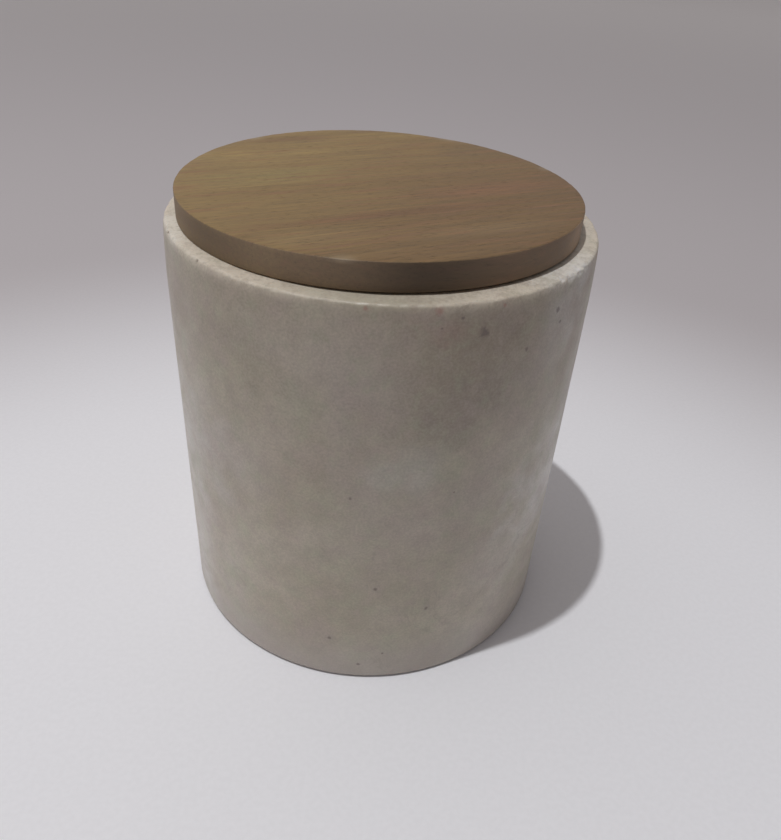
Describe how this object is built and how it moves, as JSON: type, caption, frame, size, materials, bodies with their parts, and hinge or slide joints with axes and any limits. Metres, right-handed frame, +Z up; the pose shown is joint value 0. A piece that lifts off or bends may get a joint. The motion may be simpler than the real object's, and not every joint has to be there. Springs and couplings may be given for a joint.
{
  "type": "lidded stone canister",
  "caption": "Round canister turned from one block of pale mottled stone, with a flat knobless wooden lid that lies on its rim and lifts off.",
  "frame": {"origin": "on the canister's axis, at the level that the foot pads stand on", "axes": "+Z up along the canister's axis; the lid's board is set a little off centre towards -X and +Y; -Y faces the viewer"},
  "size_m": [0.12, 0.12, 0.1334],
  "materials": {
    "stone": "satin",
    "wood": "satin",
    "silicone": "satin",
    "felt": "matte"
  },
  "bodies": {
    "canister": {"stone_body": "stone", "foot_pad_1": "felt", "foot_pad_2": "felt", "foot_pad_3": "felt", "foot_pad_4": "felt"},
    "seal": {"lid_seal": "silicone"},
    "lid": {"lid_board": "wood", "lid_plug": "wood"}
  },
  "joints": [
    {"name": "lid_lift", "type": "slide", "parent": "canister", "child": "seal", "axis": [0, 0, 1], "range_m": [0, 0.08]},
    {"name": "lid_turn", "type": "hinge", "parent": "seal", "child": "lid", "pos_m": [0, 0, 0.1262], "axis": [0, 0, 1], "continuous": true}
  ]
}
